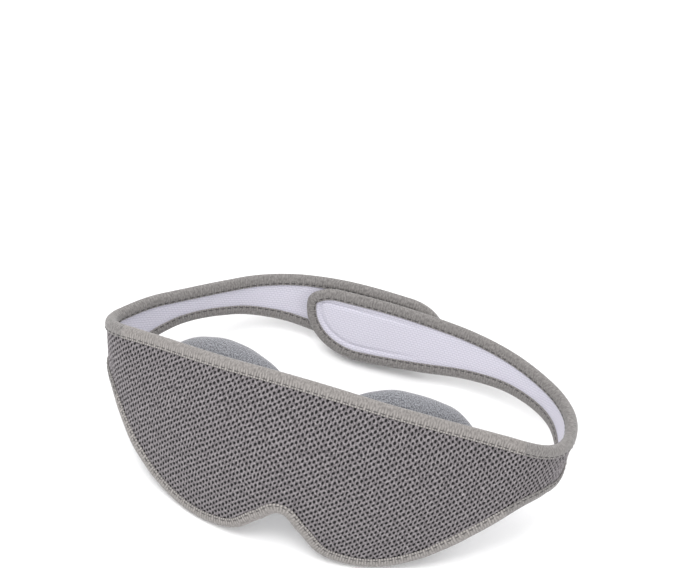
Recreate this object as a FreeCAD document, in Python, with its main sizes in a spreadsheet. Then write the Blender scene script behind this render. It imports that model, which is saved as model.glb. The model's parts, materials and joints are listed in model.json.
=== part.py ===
"""Sleep eye mask with two padded eye cups and a hook-and-loop strap.

The mask is designed upright: X to the right as seen from the front, Y towards the back of the
head, Z up, with the origin at the middle of the front's top edge. Every fabric layer is
described on one surface by three numbers: u, the distance along the band from the middle of the
front (positive to the right), v, the height, and w, the distance outwards from the middle of the
band's thickness. The finished mask is then leaned back onto its two lobes and the strap's lower edge.
"""
import FreeCAD, Part
import Sketcher
import math
import os

from FreeCAD import Placement, Rotation, Vector

NODE_FOLDER = "parts"

SIZES = [
    ("front_radius", 127.0, "plan radius of the front over the eyes"),
    ("front_arc", 63.0, "half length of that arc"),
    ("temple_flat", 21.4, "straight run between the front arc and the temple"),
    ("temple_radius", 46.0, "plan radius where the temple starts to turn"),
    ("temple_arc", 11.0, "length of that turn"),
    ("right_corner_radius", 29.5, "right temple corner"),
    ("right_corner_turn", 49.3, "degrees"),
    ("right_side_radius", 37.5, "right side of the head loop"),
    ("right_side_turn", 50.0, "degrees"),
    ("right_rear_radius", 73.0, "right rear of the head loop"),
    ("left_corner_radius", 15.5, "left temple corner"),
    ("left_corner_turn", 72.4, "degrees"),
    ("left_side_radius", 60.0, "left side of the head loop"),
    ("left_side_turn", 19.5, "degrees"),
    ("left_rear_radius", 40.0, "left rear of the head loop"),
    ("hinge_run", 104.0, "distance along the band to the line where each strap flexes"),
    ("right_run", 267.0, "distance along the band to the right tip"),
    ("left_run", 261.0, "distance along the band to the left tip"),
    ("notch_depth", 54.9, "height of the band over the nose"),
    ("lobe_depth", 70.2, "height of the band over the eyes"),
    ("temple_drop", 8.9, "fall of the top edge from the middle to the temple"),
    ("temple_width", 21.8, "band width at the temple"),
    ("waist_width", 15.9, "narrowest strap width"),
    ("paddle_width", 28.4, "widest strap width, near the tip"),
    ("strap_rise", 11.5, "height of the strap's top edge at the back, over the front's"),
    ("tip_length", 13.5, "length of the rounded tip"),
    ("bulge", 0.011, "vertical curvature of the front, per mm"),
    ("mesh_thickness", 1.3, "spacer mesh"),
    ("core_thickness", 1.35, "blackout foam core"),
    ("lining_thickness", 0.65, "brushed loop lining"),
    ("ply_gap", 0.05, "clearance between layers of one body"),
    ("tape_thickness", 0.7, "binding tape"),
    ("tape_cover", 5.0, "width of tape that shows on each face"),
    ("moving_gap", 0.3, "clearance between pieces that move on each other"),
    ("cup_gap", 7.7, "gap along the band between the two cushions"),
    ("cup_drop", 33.2, "depth of the cup centre below the top edge"),
    ("cup_width", 74.1, "cushion width"),
    ("cup_height", 65.4, "cushion height"),
    ("tube_width", 20.4, "width of the cushion's padded ring"),
    ("tube_depth", 22.9, "depth of the cushion's padded ring"),
    ("jersey_thickness", 0.7, "cushion cover"),
    ("seam_half_angle", 12.0, "degrees, half opening of the cover at its base seam"),
    ("backing_thickness", 0.8, "cup base cloth"),
    ("backing_overlap", 3.0, "base cloth beyond the ring's middle line"),
    ("hook_thickness", 1.1, "hook pad under a cup"),
    ("hook_pad_width", 30.0, "hook pad under a cup"),
    ("hook_pad_height", 26.0, "hook pad under a cup"),
    ("shell_rise", 5.0, "height of the eye shell's rim over its base"),
    ("shell_dome", 9.0, "polar half axis of the eye shell"),
    ("shell_wall", 1.0, "eye shell"),
    ("shell_fit", 1.5, "clearance of the eye shell's rim inside the padded ring"),
    ("vent_diameter", 4.0, "vent hole"),
    ("vent_spacing_x", 14.2, "between vent centres"),
    ("vent_spacing_z", 14.2, "between vent centres"),
    ("patch_length", 36.0, "closure hook patch"),
    ("patch_width", 12.0, "closure hook patch"),
    ("patch_from_tip", 26.5, "patch centre from the right tip"),
]

doc = FreeCAD.newDocument("sleep_mask")
sheet = doc.addObject("Spreadsheet::Sheet", "sizes")
for row, (name, value, note) in enumerate(SIZES, start=1):
    sheet.set("A%d" % row, name)
    sheet.set("B%d" % row, str(value))
    sheet.set("C%d" % row, note)
    sheet.setAlias("B%d" % row, name)
doc.recompute()


def size(name):
    """The number that the spreadsheet holds under this name."""
    return float(sheet.get(name))


# ---------------------------------------------------------------- the plan of the band
STACK = size("mesh_thickness") + size("core_thickness") + size("lining_thickness") + 2 * size("ply_gap")
OUTER_FACE = STACK / 2
INNER_FACE = -STACK / 2
TAPE_INSIDE = STACK / 2 + size("ply_gap")
TAPE_OUTSIDE = TAPE_INSIDE + size("tape_thickness")
LAP_SPACING = 2 * TAPE_OUTSIDE + size("moving_gap")
LONG_RUN = 400.0


def arc_run(radius, turn):
    """A run of the plan as its length and its turn in degrees."""
    return (radius * math.radians(turn), turn)


def walk(runs, distance):
    """Point and heading (radians) after a distance along a chain of tangent runs."""
    x, y, heading, left = 0.0, 0.0, 0.0, distance
    for length, turn in runs:
        step = min(left, length)
        bend = math.radians(turn) * step / length
        if abs(bend) < 1e-9:
            x += step * math.cos(heading)
            y += step * math.sin(heading)
        else:
            radius = step / bend
            x += radius * (math.sin(heading + bend) - math.sin(heading))
            y -= radius * (math.cos(heading + bend) - math.cos(heading))
            heading += bend
        left -= step
        if left <= 1e-9:
            break
    return x, y, heading


def total_turn(runs):
    """Degrees that a chain of runs turns."""
    return sum(turn for _, turn in runs)


def front_runs():
    """Middle of the front to the temple, the same on both sides."""
    arc_turn = math.degrees(size("front_arc") / size("front_radius"))
    temple_turn = math.degrees(size("temple_arc") / size("temple_radius"))
    return [(size("front_arc"), arc_turn), (size("temple_flat"), 0.0), (size("temple_arc"), temple_turn)]


def side_runs(side):
    """The front and the temple and side of one strap, before the rear bend."""
    runs = front_runs()
    runs.append(arc_run(size(side + "_corner_radius"), size(side + "_corner_turn")))
    runs.append(arc_run(size(side + "_side_radius"), size(side + "_side_turn")))
    return runs


def close_rear(runs, side):
    """Adds the rear bend, which brings the strap square to the front, and the straight lap."""
    rear = arc_run(size(side + "_rear_radius"), 180.0 - total_turn(runs))
    return runs + [rear, (LONG_RUN, 0.0)]


def depth_of(runs):
    """How far back a closed chain's lap lies."""
    return walk(runs, sum(length for length, _ in runs[:-1]))[1]


def left_plan(lap_depth):
    """The left strap, with a straight side run solved so that its lap lies at lap_depth."""
    runs = side_runs("left")
    missing = lap_depth - depth_of(close_rear(runs, "left"))
    side_run = missing / math.sin(math.radians(total_turn(runs)))
    return close_rear(runs + [(side_run, 0.0)], "left")


RIGHT_PLAN = close_rear(side_runs("right"), "right")
LEFT_PLAN = left_plan(depth_of(RIGHT_PLAN) + LAP_SPACING)


# ---------------------------------------------------------------- the outline of the band
def smooth(points, u):
    """Height at u on a smooth curve through a few points (cubic pieces, level at the first one)."""
    u = min(max(u, points[0][0]), points[-1][0])
    slopes = [0.0]
    for before, here, after in zip(points, points[1:], points[2:]):
        slope_in = (here[1] - before[1]) / (here[0] - before[0])
        slope_out = (after[1] - here[1]) / (after[0] - here[0])
        run_in = here[0] - before[0]
        run_out = after[0] - here[0]
        slopes.append((slope_in * run_out + slope_out * run_in) / (run_in + run_out))
    slopes.append((points[-1][1] - points[-2][1]) / (points[-1][0] - points[-2][0]))
    k = 0
    while k < len(points) - 2 and u > points[k + 1][0]:
        k += 1
    (u0, v0), (u1, v1) = points[k], points[k + 1]
    run = u1 - u0
    f = (u - u0) / run
    return ((2 * f ** 3 - 3 * f ** 2 + 1) * v0 + (f ** 3 - 2 * f ** 2 + f) * run * slopes[k]
            + (3 * f ** 2 - 2 * f ** 3) * v1 + (f ** 3 - f ** 2) * run * slopes[k + 1])


NECK_BEYOND_HINGE = 3.5
TEMPLE_RUN = size("hinge_run") + NECK_BEYOND_HINGE
LOBE = size("lobe_depth")
NOTCH = size("notch_depth")
TEMPLE_BOTTOM = size("temple_drop") + size("temple_width")
TOP_POINTS = [(0.0, 0.0),
              (41.0, -0.26 * size("temple_drop")),
              (TEMPLE_RUN - 27.5, -0.71 * size("temple_drop")),
              (TEMPLE_RUN, -size("temple_drop")),
              (TEMPLE_RUN + 28.5, -2.0),
              (TEMPLE_RUN + 72.5, 0.66 * size("strap_rise")),
              (TEMPLE_RUN + 115.5, size("strap_rise")),
              (TEMPLE_RUN + 162.5, 0.92 * size("strap_rise"))]
BOTTOM_POINTS = [(0.0, -NOTCH),
                 (8.4, -NOTCH - 0.38 * (LOBE - NOTCH)),
                 (17.0, -NOTCH - 0.83 * (LOBE - NOTCH)),
                 (29.0, -LOBE),
                 (43.0, -LOBE + 1.3),
                 (60.0, -LOBE + 9.3),
                 (TEMPLE_RUN - 27.5, -TEMPLE_BOTTOM - 0.335 * (LOBE - TEMPLE_BOTTOM)),
                 (TEMPLE_RUN - 12.7, -TEMPLE_BOTTOM - 0.08 * (LOBE - TEMPLE_BOTTOM)),
                 (TEMPLE_RUN, -TEMPLE_BOTTOM)]
WIDTH_POINTS = [(TEMPLE_RUN, size("temple_width")),
                (TEMPLE_RUN + 17.5, size("temple_width") - 0.4),
                (TEMPLE_RUN + 39.5, size("waist_width")),
                (TEMPLE_RUN + 61.5, size("waist_width") + 0.5),
                (TEMPLE_RUN + 83.5, 0.64 * size("waist_width") + 0.36 * size("paddle_width")),
                (TEMPLE_RUN + 105.5, 0.24 * size("waist_width") + 0.76 * size("paddle_width")),
                (TEMPLE_RUN + 126.5, size("paddle_width")),
                (TEMPLE_RUN + 162.5, size("paddle_width") - 0.6)]


def top_edge(u):
    return smooth(TOP_POINTS, abs(u))


def bottom_edge(u):
    u = abs(u)
    if u <= TEMPLE_RUN:
        return smooth(BOTTOM_POINTS, u)
    return smooth(TOP_POINTS, u) - smooth(WIDTH_POINTS, u)


def slope(edge, u):
    """Rise of an edge per mm along the band."""
    step = 0.05
    return (edge(u + step) - edge(u - step)) / (2 * step)


def inset_edge(edge, u, inset):
    """Height of an edge moved towards the middle of the band by inset, square to the edge."""
    inwards = -1.0 if edge is top_edge else 1.0
    return edge(u) + inwards * inset * math.sqrt(1.0 + slope(edge, u) ** 2)


def tip_start(side):
    return size(side + "_run") - size("tip_length")


def tip_point(side, inset, angle):
    """Point (u, v) on the rounded tip, angle from 90 at the top to -90 degrees at the bottom."""
    start = tip_start(side)
    middle = (top_edge(start) + bottom_edge(start)) / 2
    half = (top_edge(start) - bottom_edge(start)) / 2 - inset
    reach = size("tip_length") - inset
    return (start + reach * math.cos(math.radians(angle)), middle + half * math.sin(math.radians(angle)))


# ---------------------------------------------------------------- the surface
BULGE_MIDDLE = -29.8
BULGE_FADE = (63.0, 96.0)


def bulge_at(u):
    """Vertical curvature of the front, which fades out towards the temples."""
    f = min(max((abs(u) - BULGE_FADE[0]) / (BULGE_FADE[1] - BULGE_FADE[0]), 0.0), 1.0)
    return size("bulge") * (1.0 - f * f * (3.0 - 2.0 * f))


def plan_frame(u):
    """Plan point and outward normal of the band's middle surface."""
    runs = RIGHT_PLAN if u >= 0 else LEFT_PLAN
    x, y, heading = walk(runs, abs(u))
    mirror = 1.0 if u >= 0 else -1.0
    return Vector(mirror * x, y, 0), Vector(mirror * math.sin(heading), -math.cos(heading), 0)


def surface(u, v, w):
    """Point of the band at distance u, height v and offset w outwards."""
    point, normal = plan_frame(u)
    sag = 0.5 * bulge_at(u) * (v - BULGE_MIDDLE) ** 2
    return point + normal * (w - sag) + Vector(0, 0, v)


def surface_frame(u, v):
    """Unit vectors at a point of the middle surface: along u, up, and outwards."""
    step = 0.1
    along = surface(u + step, v, 0) - surface(u - step, v, 0)
    up = surface(u, v + step, 0) - surface(u, v - step, 0)
    along.normalize()
    up.normalize()
    out = along.cross(up)
    out.normalize()
    return along, up, out


# ---------------------------------------------------------------- lofted fabric
def parabola(u, v_from, v_to, w):
    """Edge of a section, following the front's vertical curvature exactly."""
    v_mid = (v_from + v_to) / 2
    lift = 0.5 * bulge_at(u) * ((v_to - v_from) / 2) ** 2
    curve = Part.BezierCurve()
    curve.setPoles([surface(u, v_from, w), surface(u, v_mid, w + lift), surface(u, v_to, w)])
    return curve.toShape()


def layer_section(u, v_top, v_bottom, w_out, w_in):
    """Closed outline of one layer at distance u."""
    return Part.Wire([parabola(u, v_top, v_bottom, w_out),
                      Part.makeLine(surface(u, v_bottom, w_out), surface(u, v_bottom, w_in)),
                      parabola(u, v_bottom, v_top, w_in),
                      Part.makeLine(surface(u, v_top, w_in), surface(u, v_top, w_out))])


def steps(first, last, spacing):
    """Evenly spaced values from first to last, about spacing apart."""
    count = max(2, int(round(abs(last - first) / spacing)))
    return [first + (last - first) * k / count for k in range(count + 1)]


def band_layer(u_values, w_out, w_in):
    """A fabric layer of the front or of a temple, as wide as the binding leaves it."""
    sections = []
    for u in u_values:
        v_top = inset_edge(top_edge, u, TAPE_OUTSIDE)
        v_bottom = inset_edge(bottom_edge, u, TAPE_OUTSIDE)
        sections.append(layer_section(u, v_top, v_bottom, w_out, w_in))
    return Part.makeLoft(sections, True, False)


LAYER_SPACING = 4.5
TIP_ANGLES = (25.0, 45.0, 60.0, 70.0, 78.0)


def strap_layer(side, first, w_out, w_in):
    """A fabric layer of a strap, from distance first to just inside the rounded tip."""
    mirror = 1.0 if side == "right" else -1.0
    sections = []
    for u in steps(first, tip_start(side), LAYER_SPACING):
        v_top = inset_edge(top_edge, u, TAPE_OUTSIDE)
        v_bottom = inset_edge(bottom_edge, u, TAPE_OUTSIDE)
        sections.append(layer_section(mirror * u, v_top, v_bottom, w_out, w_in))
    for angle in TIP_ANGLES:
        u, v_top = tip_point(side, TAPE_OUTSIDE, 90.0 - angle)
        _, v_bottom = tip_point(side, TAPE_OUTSIDE, angle - 90.0)
        sections.append(layer_section(mirror * u, v_top, v_bottom, w_out, w_in))
    return Part.makeLoft(sections, True, False)


TAPE_SPACING = 3.2
TAPE_PIECE = 28
FINE_STEP = 0.5
TIP_TURN = 88.0
TIP_STEP = 2.0


def tape_section(origin, inward, out):
    """U-shaped outline of the binding tape, folded round an edge whose middle line is at origin."""
    leg = size("tape_cover") - TAPE_OUTSIDE

    def at(depth, offset):
        return origin + inward * depth + out * offset

    outer = TAPE_OUTSIDE
    inner = TAPE_INSIDE
    return Part.Wire([Part.makeLine(at(leg, outer), at(0, outer)),
                      Part.Arc(at(0, outer), at(-outer, 0), at(0, -outer)).toShape(),
                      Part.makeLine(at(0, -outer), at(leg, -outer)),
                      Part.makeLine(at(leg, -outer), at(leg, -inner)),
                      Part.makeLine(at(leg, -inner), at(0, -inner)),
                      Part.Arc(at(0, -inner), at(-inner, 0), at(0, inner)).toShape(),
                      Part.makeLine(at(0, inner), at(leg, inner)),
                      Part.makeLine(at(leg, inner), at(leg, outer))])


def evenly(path, spacing):
    """Points about spacing apart along a finely drawn (u, v) path."""
    runs = [0.0]
    for (u0, v0), (u1, v1) in zip(path, path[1:]):
        runs.append(runs[-1] + math.hypot(u1 - u0, v1 - v0))
    points = []
    k = 0
    for run in steps(0.0, runs[-1], spacing):
        while k < len(path) - 2 and runs[k + 1] < run:
            k += 1
        share = (run - runs[k]) / (runs[k + 1] - runs[k])
        points.append((path[k][0] + share * (path[k + 1][0] - path[k][0]),
                       path[k][1] + share * (path[k + 1][1] - path[k][1])))
    return points


def tape_along(fine_path, clockwise):
    """Binding tape along a path of (u, v) points, with the fabric on its right if clockwise."""
    path = evenly(fine_path, TAPE_SPACING)
    sections = []
    last = len(path) - 1
    for k, (u, v) in enumerate(path):
        before = path[max(k - 1, 0)]
        after = path[min(k + 1, last)]
        du = after[0] - before[0]
        dv = after[1] - before[1]
        along, up, out = surface_frame(u, v)
        turn = 1.0 if clockwise else -1.0
        inward = along * (turn * dv) - up * (turn * du)
        inward.normalize()
        sections.append(tape_section(surface(u, v, 0), inward, out))
    lengths = [Part.makeLoft(sections[k:k + TAPE_PIECE + 1], True, False)
               for k in range(0, last, TAPE_PIECE)]
    return lengths[0].fuse(lengths[1:]).removeSplitter()


def strap_edge_path(side):
    """Middle line of the tape on a strap: out along the top, round the tip, back below."""
    mirror = 1.0 if side == "right" else -1.0
    runs = steps(size("hinge_run"), tip_start(side), FINE_STEP)
    path = [(mirror * u, inset_edge(top_edge, u, TAPE_OUTSIDE)) for u in runs]
    for angle in steps(TIP_TURN, -TIP_TURN, TIP_STEP):
        u, v = tip_point(side, TAPE_OUTSIDE, angle)
        path.append((mirror * u, v))
    path += [(mirror * u, inset_edge(bottom_edge, u, TAPE_OUTSIDE)) for u in reversed(runs)]
    return path


# ---------------------------------------------------------------- eye cups
CUP_BASE = INNER_FACE - size("moving_gap") - size("hook_thickness") - size("backing_thickness") \
    - 2 * size("ply_gap")
RING_HALF_U = (size("cup_width") - size("tube_width")) / 2
RING_HALF_V = (size("cup_height") - size("tube_width")) / 2
CUP_RUN = (size("cup_width") + size("cup_gap")) / 2
CUP_SIDES = {"left": -1.0, "right": 1.0}
RING_STEPS = 28
RING_POINTS = 16
OVAL_ANGLES = (172.0, 8.0)
OVAL_STEP = 12.0


def ring_section(origin, radial, out, half_width, half_depth, gap_angle):
    """Outline points of the padded ring as a spline, open at its base by gap_angle each side."""
    points = []
    for k in range(RING_POINTS + 1):
        angle = -math.pi + gap_angle + 2 * (math.pi - gap_angle) * k / RING_POINTS
        points.append(origin + radial * (half_width * math.sin(angle)) - out * (half_depth * math.cos(angle)))
    curve = Part.BSplineCurve()
    curve.interpolate(points)
    return curve.toShape(), points[0], points[-1]


def ring_frames(side):
    """Origin, radial direction and outward normal at each step round a cup's padded ring."""
    middle = CUP_BASE - size("tube_depth") / 2
    frames = []
    for k in range(RING_STEPS):
        angle = 2 * math.pi * k / RING_STEPS
        u = CUP_SIDES[side] * CUP_RUN + RING_HALF_U * math.cos(angle)
        v = -size("cup_drop") + RING_HALF_V * math.sin(angle)
        along, up, out = surface_frame(u, v)
        radial = along * (RING_HALF_V * math.cos(angle)) + up * (RING_HALF_U * math.sin(angle))
        radial.normalize()
        frames.append((surface(u, v, 0) + out * middle, radial, out))
    return frames


def cushion_cover(side):
    """Jersey sleeve round the padded ring, open along its base seam."""
    half_width = size("tube_width") / 2
    half_depth = size("tube_depth") / 2
    wall = size("jersey_thickness")
    gap = math.radians(size("seam_half_angle"))
    sections = []
    for origin, radial, out in ring_frames(side):
        outer, start_out, end_out = ring_section(origin, radial, out, half_width, half_depth, gap)
        inner, start_in, end_in = ring_section(origin, radial, out, half_width - wall, half_depth - wall, gap)
        sections.append(Part.Wire([outer, Part.makeLine(end_out, end_in), inner,
                                   Part.makeLine(start_in, start_out)]))
    return Part.makeLoft(sections, True, False, True)


def foam_ring(side):
    """Soft foam core of the cushion, clear of its cover."""
    half_width = size("tube_width") / 2 - size("jersey_thickness") - 2 * size("ply_gap")
    half_depth = size("tube_depth") / 2 - size("jersey_thickness") - 2 * size("ply_gap")
    gap = math.radians(size("seam_half_angle"))
    sections = []
    for origin, radial, out in ring_frames(side):
        outline, start, end = ring_section(origin, radial, out, half_width, half_depth, gap)
        sections.append(Part.Wire([outline, Part.makeLine(end, start)]))
    return Part.makeLoft(sections, True, False, True)


def oval_layer(side, half_u, half_v, w_out, w_in):
    """Oval piece of cloth that lies along the front's inner face."""
    centre = CUP_SIDES[side] * CUP_RUN
    sections = []
    for angle in steps(*OVAL_ANGLES, OVAL_STEP):
        u = centre + half_u * math.cos(math.radians(angle))
        reach = half_v * math.sin(math.radians(angle))
        sections.append(layer_section(u, -size("cup_drop") + reach, -size("cup_drop") - reach, w_out, w_in))
    return Part.makeLoft(sections, True, False)


# ---------------------------------------------------------------- document objects
features = {}


def add_shape(label, shape):
    """Keeps a shape built by Part's functions as a feature of the document."""
    feature = doc.addObject("Part::Feature", label)
    feature.Label = label
    feature.Shape = shape
    features[label] = feature


MESH_IN = OUTER_FACE - size("mesh_thickness")
CORE_OUT = MESH_IN - size("ply_gap")
CORE_IN = CORE_OUT - size("core_thickness")
LINING_OUT = CORE_IN - size("ply_gap")
HINGE_RUN = size("hinge_run")
NOSE = TAPE_OUTSIDE
FRONT_END = HINGE_RUN - NOSE - size("moving_gap")
LINING_SEAM = 71.0
SEAM_GAP = 0.3
CORE_END_GAP = 0.1
SHORTEST_STEP = 1.0

front_span = steps(-FRONT_END, FRONT_END, LAYER_SPACING)
center_span = [-LINING_SEAM] + [u for u in front_span if abs(u) < LINING_SEAM - SHORTEST_STEP] + [LINING_SEAM]
add_shape("outer_mesh_panel", band_layer(front_span, OUTER_FACE, MESH_IN))
add_shape("blackout_foam_panel", band_layer(front_span, CORE_OUT, CORE_IN))
add_shape("center_loop_lining", band_layer(center_span, LINING_OUT, INNER_FACE))
for side_name, sign in CUP_SIDES.items():
    temple_span = [LINING_SEAM + SEAM_GAP] + [u for u in front_span if u > LINING_SEAM + SHORTEST_STEP]
    temple_span = [sign * u for u in temple_span]
    add_shape(side_name + "_temple_lining", band_layer(temple_span, LINING_OUT, INNER_FACE))
tape_span = steps(-FRONT_END, FRONT_END, FINE_STEP)
add_shape("front_top_binding",
          tape_along([(u, inset_edge(top_edge, u, TAPE_OUTSIDE)) for u in tape_span], True))
add_shape("front_bottom_binding",
          tape_along([(u, inset_edge(bottom_edge, u, TAPE_OUTSIDE)) for u in reversed(tape_span)], True))

for side_name in CUP_SIDES:
    add_shape(side_name + "_strap_mesh", strap_layer(side_name, HINGE_RUN, OUTER_FACE, MESH_IN))
    core_start = HINGE_RUN - NOSE + CORE_END_GAP
    add_shape(side_name + "_strap_core", strap_layer(side_name, core_start, CORE_OUT, CORE_IN))
    add_shape(side_name + "_strap_lining", strap_layer(side_name, HINGE_RUN, LINING_OUT, INNER_FACE))
    add_shape(side_name + "_strap_binding", tape_along(strap_edge_path(side_name), side_name == "right"))

for side_name in CUP_SIDES:
    hook_out = INNER_FACE - size("moving_gap")
    hook_in = hook_out - size("hook_thickness")
    backing_out = hook_in - size("ply_gap")
    backing_in = backing_out - size("backing_thickness")
    add_shape(side_name + "_cup_hook_pad",
              oval_layer(side_name, size("hook_pad_width") / 2, size("hook_pad_height") / 2,
                         hook_out, hook_in))
    add_shape(side_name + "_cup_backing",
              oval_layer(side_name, RING_HALF_U + size("backing_overlap"),
                         RING_HALF_V + size("backing_overlap"), backing_out, backing_in))
    add_shape(side_name + "_cup_foam_ring", foam_ring(side_name))
    add_shape(side_name + "_cup_cover", cushion_cover(side_name))


def expose(name, value):
    """Adds a worked-out length to the sheet, so that primitives can be bound to it."""
    row_number = len(SIZES) + 2 + len(derived)
    sheet.set("A%d" % row_number, name)
    sheet.set("B%d" % row_number, str(value))
    sheet.setAlias("B%d" % row_number, name)
    derived.append(name)


derived = []
rim_fit = size("tube_width") / 2 * math.sqrt(1.0 - (1.0 - size("shell_rise") / (size("tube_depth") / 2)) ** 2)
cap_share = math.sqrt(1.0 - (1.0 - size("shell_rise") / size("shell_dome")) ** 2)
expose("shell_half_width", (RING_HALF_U - rim_fit - size("shell_fit")) / cap_share)
expose("shell_half_height", (RING_HALF_V - rim_fit - size("shell_fit")) / cap_share)
doc.recompute()


def ellipsoid(name, inset):
    """Oval body of the eye shell, smaller by an inset expression; its pole axis is Z."""
    body = doc.addObject("Part::Ellipsoid", name)
    body.setExpression("Radius1", "sizes.shell_dome" + inset)
    body.setExpression("Radius2", "sizes.shell_half_width" + inset)
    body.setExpression("Radius3", "sizes.shell_half_height" + inset)
    body.setExpression(".Placement.Base.z", "sizes.shell_dome")
    return body


def eye_shell(side):
    """Moulded oval dish with four vents, standing on the cup's backing."""
    outer = ellipsoid(side + "_shell_outer", "")
    inner = ellipsoid(side + "_shell_inner", " - sizes.shell_wall")
    dish = doc.addObject("Part::Cut", side + "_shell_dish")
    dish.Base = outer
    dish.Tool = inner
    slab = doc.addObject("Part::Box", side + "_shell_slab")
    slab.setExpression("Length", "2 * sizes.shell_half_width")
    slab.setExpression("Width", "2 * sizes.shell_half_height")
    slab.setExpression("Height", "sizes.shell_rise")
    slab.setExpression(".Placement.Base.x", "-sizes.shell_half_width")
    slab.setExpression(".Placement.Base.y", "-sizes.shell_half_height")
    cap = doc.addObject("Part::Common", side + "_shell_cap")
    cap.Base = dish
    cap.Tool = slab
    vents = []
    for k, (sign_x, sign_y) in enumerate(((1, 1), (-1, 1), (-1, -1), (1, -1))):
        vent = doc.addObject("Part::Cylinder", "%s_vent_%d" % (side, k))
        vent.setExpression("Radius", "sizes.vent_diameter / 2")
        vent.setExpression("Height", "2 * sizes.shell_dome")
        vent.setExpression(".Placement.Base.x", "%d * sizes.vent_spacing_x / 2" % sign_x)
        vent.setExpression(".Placement.Base.y", "%d * sizes.vent_spacing_z / 2" % sign_y)
        vents.append(vent)
    holes = doc.addObject("Part::MultiFuse", side + "_vents")
    holes.Shapes = vents
    shell = doc.addObject("Part::Cut", side + "_eye_shell")
    shell.Label = side + "_eye_shell"
    shell.Base = cap
    shell.Tool = holes
    return shell


def frame_placement(origin, x_axis, y_axis, z_axis):
    """Placement whose axes and origin are given."""
    matrix = FreeCAD.Matrix(x_axis.x, y_axis.x, z_axis.x, origin.x,
                            x_axis.y, y_axis.y, z_axis.y, origin.y,
                            x_axis.z, y_axis.z, z_axis.z, origin.z,
                            0, 0, 0, 1)
    return Placement(matrix)


local_placements = {}
for side_name, sign in CUP_SIDES.items():
    label = side_name + "_eye_shell"
    features[label] = eye_shell(side_name)
    cup_u = sign * CUP_RUN
    _, up_axis, out_axis = surface_frame(cup_u, -size("cup_drop"))
    seat = surface(cup_u, -size("cup_drop"), 0) + out_axis * (CUP_BASE - size("ply_gap"))
    local_placements[label] = frame_placement(seat, up_axis.cross(out_axis * -1), up_axis, out_axis * -1)


expose("patch_thickness", LAP_SPACING - OUTER_FACE + INNER_FACE - size("ply_gap") - size("moving_gap"))
doc.recompute()


def closure_patch():
    """Hook patch of rounded outline, sewn flat on the outer face of the right strap's tip."""
    body = doc.addObject("PartDesign::Body", "closure_hook_patch")
    body.Label = "closure_hook_patch"
    sketch = body.newObject("Sketcher::SketchObject", "patch_outline")
    plane = [feature for feature in body.Origin.OriginFeatures if feature.Role == "XY_Plane"][0]
    sketch.AttachmentSupport = [(plane, "")]
    sketch.MapMode = "FlatFace"
    radius = size("patch_width") / 2
    half = size("patch_length") / 2 - radius
    quarter = math.pi / 2
    axis = Vector(0, 0, 1)
    right_end = Part.Circle(Vector(half, 0, 0), axis, radius)
    left_end = Part.Circle(Vector(-half, 0, 0), axis, radius)
    sketch.addGeometry([Part.ArcOfCircle(right_end, -quarter, quarter),
                        Part.ArcOfCircle(left_end, quarter, 3 * quarter),
                        Part.LineSegment(Vector(half, radius, 0), Vector(-half, radius, 0)),
                        Part.LineSegment(Vector(-half, -radius, 0), Vector(half, -radius, 0))], False)
    for first, second in (((0, 2), (2, 1)), ((2, 2), (1, 1)), ((1, 2), (3, 1)), ((3, 2), (0, 1))):
        sketch.addConstraint(Sketcher.Constraint("Tangent", *first, *second))
    sketch.addConstraint(Sketcher.Constraint("Symmetric", 0, 3, 1, 3, -1, 1))
    sketch.addConstraint(Sketcher.Constraint("Horizontal", 2))
    radius_index = sketch.addConstraint(Sketcher.Constraint("Radius", 0, radius))
    sketch.renameConstraint(radius_index, "end_radius")
    length_index = sketch.addConstraint(Sketcher.Constraint("DistanceX", 1, 3, 0, 3, 2 * half))
    sketch.renameConstraint(length_index, "centre_distance")
    sketch.setExpression("Constraints.end_radius", "sizes.patch_width / 2")
    sketch.setExpression("Constraints.centre_distance", "sizes.patch_length - sizes.patch_width")
    pad = body.newObject("PartDesign::Pad", "patch_pad")
    pad.Profile = sketch
    pad.setExpression("Length", "sizes.patch_thickness")
    return body


patch_u = size("right_run") - size("patch_from_tip")
patch_v = (top_edge(patch_u) + bottom_edge(patch_u)) / 2
patch_along, patch_up, patch_out = surface_frame(patch_u, patch_v)
features["closure_hook_patch"] = closure_patch()
local_placements["closure_hook_patch"] = frame_placement(
    surface(patch_u, patch_v, OUTER_FACE + size("ply_gap")), patch_along, patch_up, patch_out)
doc.recompute()


# ---------------------------------------------------------------- standing on the floor
def lowest(points, lean):
    """Height of the lowest point once the mask is leaned back by an angle in radians."""
    return min(point.z * math.cos(lean) - point.y * math.sin(lean) for point in points)


def resting_lean():
    """Lean at which the two lobes and the straps' lower edges touch the floor together."""
    lobes = [surface(u, inset_edge(bottom_edge, u, TAPE_OUTSIDE), 0) for u in steps(10.0, 60.0, 2.0)]
    rears = []
    for side, sign in CUP_SIDES.items():
        for u in steps(180.0, tip_start(side), 2.0):
            rears.append(surface(sign * u, inset_edge(bottom_edge, u, TAPE_OUTSIDE), 0))
    upright, flat = 0.0, math.radians(80.0)
    for _ in range(50):
        middle = (upright + flat) / 2
        if lowest(rears, middle) > lowest(lobes, middle):
            upright = middle
        else:
            flat = middle
    return (upright + flat) / 2


lean = Rotation(Vector(1, 0, 0), -math.degrees(resting_lean()))
tilt = Placement(Vector(0, 0, 0), lean)
box = FreeCAD.BoundBox()
for label in ("front_top_binding", "front_bottom_binding", "left_strap_binding", "right_strap_binding",
              "outer_mesh_panel"):
    tilted = features[label].Shape.copy()
    tilted.Placement = tilt
    box.add(tilted.optimalBoundingBox(False, False))
to_floor = Vector(-box.Center.x, -box.Center.y, -box.ZMin)
stand = Placement(to_floor, lean)
for label, feature in features.items():
    feature.Placement = stand * local_placements.get(label, Placement())
doc.recompute()


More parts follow.
